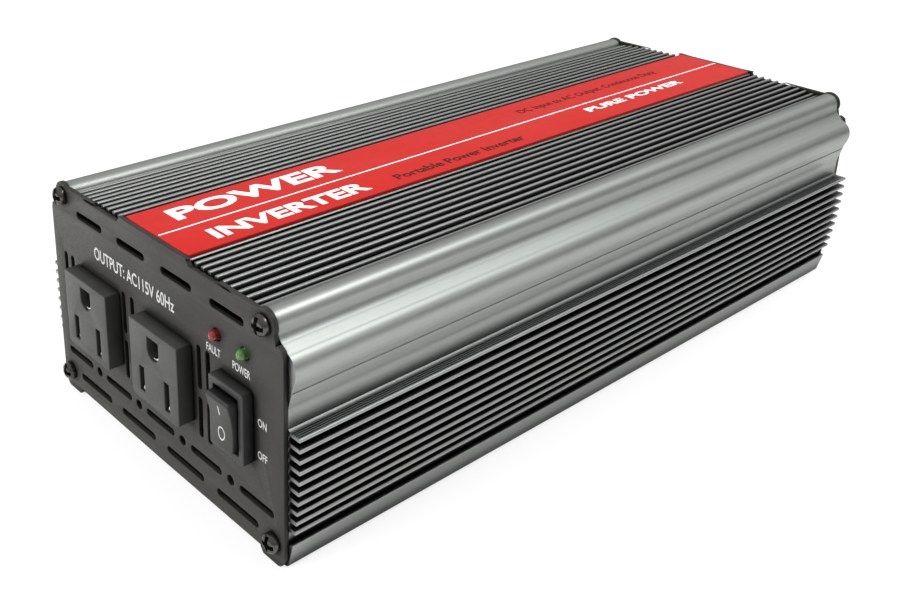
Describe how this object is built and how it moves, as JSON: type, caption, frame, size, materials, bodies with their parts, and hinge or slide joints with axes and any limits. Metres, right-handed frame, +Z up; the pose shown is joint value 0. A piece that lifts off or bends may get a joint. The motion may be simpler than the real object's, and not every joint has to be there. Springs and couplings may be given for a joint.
{
  "type": "power inverter",
  "caption": "DC to AC power inverter: finned aluminium case, outlet panel with rocker switch, fan and screw terminals at the rear.",
  "frame": {"origin": "on the ground under the middle of the case", "axes": "+X to the right seen from the outlet panel, +Y from the outlet panel to the fan panel, +Z up"},
  "size_m": [0.1252, 0.3045, 0.0737],
  "materials": {
    "anodised_aluminium": "satin anodised, fine lines along the extrusion",
    "panel_black": "satin black powder coat",
    "label_red": "printed red film",
    "black_plastic": "fine moulded texture",
    "black_screw": "black oxide",
    "contact_metal": "nickel-plated sheet",
    "red_lens": "clear red moulding",
    "green_lens": "clear green moulding",
    "bright_steel": "polished wire and zinc-plated steel",
    "post_brass": "turned brass",
    "red_plastic": "moulded red",
    "board_green": "solder mask",
    "can_black": "shrink sleeve",
    "ferrite": "sintered ferrite",
    "copper": "enamelled copper wire",
    "white_pad": "silicone pad",
    "fuse_blue": "translucent fuse body",
    "cable_red": "PVC jacket",
    "cable_black": "PVC jacket",
    "cable_green": "PVC jacket"
  },
  "bodies": {
    "case": {"base_shell": "anodised_aluminium", "top_shell": "anodised_aluminium", "front_panel": "panel_black", "rear_panel": "panel_black", "label_plate": "label_red", "front_screws": "black_screw", "rear_screws": "black_screw", "outlet_housing_left": "black_plastic", "outlet_housing_right": "black_plastic", "line_contacts": "contact_metal", "neutral_contacts": "contact_metal", "ground_contacts": "contact_metal", "switch_housing": "black_plastic", "switch_terminals": "contact_metal", "fault_light": "red_lens", "power_light": "green_lens", "light_retainers": "black_plastic", "fan_frame": "black_plastic", "fan_stator": "copper", "fan_guard": "bright_steel", "fan_screws": "bright_steel", "positive_post": "post_brass", "positive_bush": "red_plastic", "positive_lock_nut": "bright_steel", "negative_post": "post_brass", "negative_bush": "black_plastic", "negative_lock_nut": "bright_steel", "ground_stud": "bright_steel", "ground_washer": "bright_steel", "ground_nut": "bright_steel", "main_board": "board_green", "board_standoffs": "bright_steel", "board_screws": "bright_steel", "input_capacitors": "can_black", "output_capacitors": "can_black", "transformer_cores": "ferrite", "transformer_windings": "copper", "low_side_transistors": "black_plastic", "high_side_transistors": "black_plastic", "insulating_pads": "white_pad", "clamp_bars": "bright_steel", "blade_fuses": "fuse_blue", "choke_core": "ferrite", "choke_winding": "copper", "buzzer": "black_plastic", "control_board": "board_green", "control_header": "black_plastic", "positive_cable": "cable_red", "negative_cable": "cable_black", "outlet_leads": "cable_black", "ground_leads": "cable_green", "switch_leads": "cable_red", "light_leads": "cable_black", "fan_lead": "cable_black"},
    "rocker": {"switch_rocker": "black_plastic"},
    "fan_wheel": {"fan_rotor": "black_plastic"},
    "positive_washer": {"positive_clamp_washer": "bright_steel"},
    "positive_handwheel": {"positive_knob": "red_plastic"},
    "negative_washer": {"negative_clamp_washer": "bright_steel"},
    "negative_handwheel": {"negative_knob": "black_plastic"}
  },
  "joints": [
    {"name": "rocker_tilt", "type": "hinge", "parent": "case", "child": "rocker", "pos_m": [0.0383, -0.1364, 0.0374], "axis": [1, 0, 0], "range_deg": [-12, 0]},
    {"name": "fan_spin", "type": "hinge", "parent": "case", "child": "fan_wheel", "pos_m": [-0.018, 0.125, 0.036], "axis": [0, 1, 0], "continuous": true},
    {"name": "positive_washer_slide", "type": "slide", "parent": "case", "child": "positive_washer", "axis": [0, 1, 0], "range_m": [0, 0.006]},
    {"name": "positive_knob_turn", "type": "hinge", "parent": "positive_washer", "child": "positive_handwheel", "pos_m": [0.0193, 0.15, 0.03], "axis": [0, 1, 0], "range_deg": [0, 1720]},
    {"name": "negative_washer_slide", "type": "slide", "parent": "case", "child": "negative_washer", "axis": [0, 1, 0], "range_m": [0, 0.006]},
    {"name": "negative_knob_turn", "type": "hinge", "parent": "negative_washer", "child": "negative_handwheel", "pos_m": [0.0385, 0.15, 0.03], "axis": [0, 1, 0], "range_deg": [0, 1720]}
  ],
  "couplings": [
    {"joint": "positive_washer_slide", "follows": "positive_knob_turn", "m_per_rad": 0.00019894},
    {"joint": "negative_washer_slide", "follows": "negative_knob_turn", "m_per_rad": 0.00019894}
  ]
}
